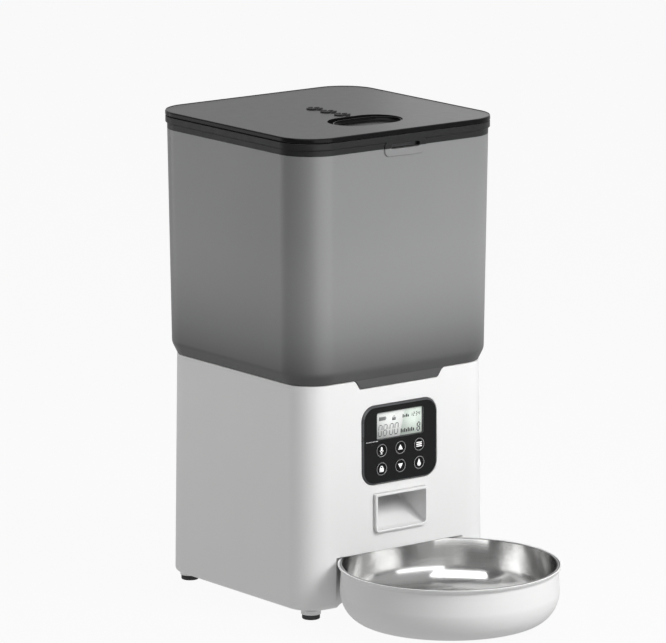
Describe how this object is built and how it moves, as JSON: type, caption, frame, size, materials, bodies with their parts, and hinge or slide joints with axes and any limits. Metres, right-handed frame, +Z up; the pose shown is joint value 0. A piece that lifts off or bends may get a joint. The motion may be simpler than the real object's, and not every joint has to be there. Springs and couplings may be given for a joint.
{
  "type": "automatic pet feeder",
  "caption": "Dry-food dispenser for pets: lidded smoke tank with a paddle rotor on a white motor base, key panel, chute and pull-off steel bowl.",
  "frame": {"origin": "centre of the whole object's footprint box, on the surface it stands on", "axes": "+Z up, the bowl and the key panel face -Y, +X to the right as seen from the front"},
  "size_m": [0.19, 0.326, 0.3639],
  "materials": {
    "white_shell": "satin moulded, fine spark texture",
    "smoke_tank": "frosted translucent smoke grey",
    "lid_black": "satin top with a polished edge",
    "lid_inner": "matt moulded",
    "panel_grey": "satin with a bevelled rim",
    "key_grey": "satin, printed symbols",
    "lcd_lens": "clear polished window",
    "lcd_glass": "grey-green reflective display",
    "rubber_dark": "matt non-slip",
    "silicone": "soft silicone",
    "circuit_board": "solder mask",
    "nylon": "natural nylon",
    "bowl_steel": "circular brushed inside, bright rim",
    "zinc_steel": "zinc plated",
    "black_parts": "matt moulded"
  },
  "bodies": {
    "base": {"base_housing": "white_shell", "base_deck": "white_shell", "food_chute": "white_shell", "bottom_cover": "white_shell", "contact_plate_front": "zinc_steel", "contact_plate_rear": "zinc_steel", "bottom_screw_1": "zinc_steel", "bottom_screw_2": "zinc_steel", "bottom_screw_3": "zinc_steel", "bottom_screw_4": "zinc_steel", "foot_front_left": "rubber_dark", "foot_front_right": "rubber_dark", "foot_rear_left": "rubber_dark", "foot_rear_right": "rubber_dark", "control_panel": "panel_grey", "lcd_window": "lcd_lens", "lcd_module": "lcd_glass", "button_board": "circuit_board", "microphone": "zinc_steel", "main_board": "circuit_board", "speaker": "black_parts", "power_jack": "black_parts", "gearbox_case": "black_parts", "gearbox_cover": "black_parts", "drive_motor": "zinc_steel"},
    "battery_door": {"battery_door": "white_shell"},
    "motor_output": {"motor_pinion": "nylon"},
    "idler": {"idler_gear": "nylon"},
    "drive": {"output_gear": "nylon", "drive_shaft": "zinc_steel"},
    "tank": {"tank_shell": "smoke_tank", "tank_funnel": "smoke_tank", "metering_cup": "smoke_tank", "sector_cover": "white_shell", "outlet_wiper": "silicone"},
    "rotor": {"rotor": "nylon", "agitator": "nylon"},
    "lid": {"lid_top": "lid_black", "lid_liner": "lid_inner", "lid_seal": "silicone", "desiccant_case": "lid_inner", "latch_spring": "zinc_steel"},
    "latch": {"latch_button": "lid_black", "latch_bolt": "lid_inner"},
    "desiccant_cover": {"desiccant_cover": "lid_inner"},
    "bowl_tray": {"bowl_holder": "white_shell", "bowl": "bowl_steel", "bowl_pad_1": "rubber_dark", "bowl_pad_2": "rubber_dark", "bowl_pad_3": "rubber_dark"},
    "record_button": {"record_button": "key_grey"},
    "up_button": {"up_button": "key_grey"},
    "set_button": {"set_button": "key_grey"},
    "lock_button": {"lock_button": "key_grey"},
    "down_button": {"down_button": "key_grey"},
    "feed_button": {"feed_button": "key_grey"}
  },
  "joints": [
    {"name": "tank_lift", "type": "slide", "parent": "base", "child": "tank", "axis": [0, 0, 1], "range_m": [0, 0.12]},
    {"name": "lid_hinge", "type": "hinge", "parent": "tank", "child": "lid", "pos_m": [0, 0.1628, 0.35985], "axis": [-1, 0, 0], "range_deg": [0, 75]},
    {"name": "latch_slide", "type": "slide", "parent": "lid", "child": "latch", "axis": [0, 1, 0], "range_m": [0, 0.0055], "stiffness_N_per_m": 400, "deforming": ["latch_spring"]},
    {"name": "desiccant_twist", "type": "hinge", "parent": "lid", "child": "desiccant_cover", "pos_m": [0, 0.103, 0.3466], "axis": [0, 0, 1], "range_deg": [0, 30]},
    {"name": "rotor_spin", "type": "hinge", "parent": "tank", "child": "rotor", "pos_m": [0, 0.068, 0.1662], "axis": [0, 0, 1], "continuous": true},
    {"name": "drive_spin", "type": "hinge", "parent": "base", "child": "drive", "pos_m": [0, 0.068, 0.1382], "axis": [0, 0, 1], "continuous": true},
    {"name": "idler_spin", "type": "hinge", "parent": "base", "child": "idler", "pos_m": [0, 0.092, 0.1312], "axis": [0, 0, 1], "continuous": true},
    {"name": "motor_spin", "type": "hinge", "parent": "base", "child": "motor_output", "pos_m": [0, 0.116, 0.1272], "axis": [0, 0, 1], "continuous": true},
    {"name": "bowl_pull", "type": "slide", "parent": "base", "child": "bowl_tray", "axis": [0, -1, 0], "range_m": [0, 0.06]},
    {"name": "battery_door_slide", "type": "slide", "parent": "base", "child": "battery_door", "axis": [0, 1, 0], "range_m": [0, 0.07]},
    {"name": "record_press", "type": "slide", "parent": "base", "child": "record_button", "axis": [0, 1, 0], "range_m": [0, 0.0005], "stiffness_N_per_m": 1500},
    {"name": "up_press", "type": "slide", "parent": "base", "child": "up_button", "axis": [0, 1, 0], "range_m": [0, 0.0005], "stiffness_N_per_m": 1500},
    {"name": "set_press", "type": "slide", "parent": "base", "child": "set_button", "axis": [0, 1, 0], "range_m": [0, 0.0005], "stiffness_N_per_m": 1500},
    {"name": "lock_press", "type": "slide", "parent": "base", "child": "lock_button", "axis": [0, 1, 0], "range_m": [0, 0.0005], "stiffness_N_per_m": 1500},
    {"name": "down_press", "type": "slide", "parent": "base", "child": "down_button", "axis": [0, 1, 0], "range_m": [0, 0.0005], "stiffness_N_per_m": 1500},
    {"name": "feed_press", "type": "slide", "parent": "base", "child": "feed_button", "axis": [0, 1, 0], "range_m": [0, 0.0005], "stiffness_N_per_m": 1500}
  ],
  "couplings": [
    {"joint": "drive_spin", "follows": "rotor_spin", "ratio": 1},
    {"joint": "idler_spin", "follows": "rotor_spin", "ratio": -3},
    {"joint": "motor_spin", "follows": "rotor_spin", "ratio": 9}
  ]
}
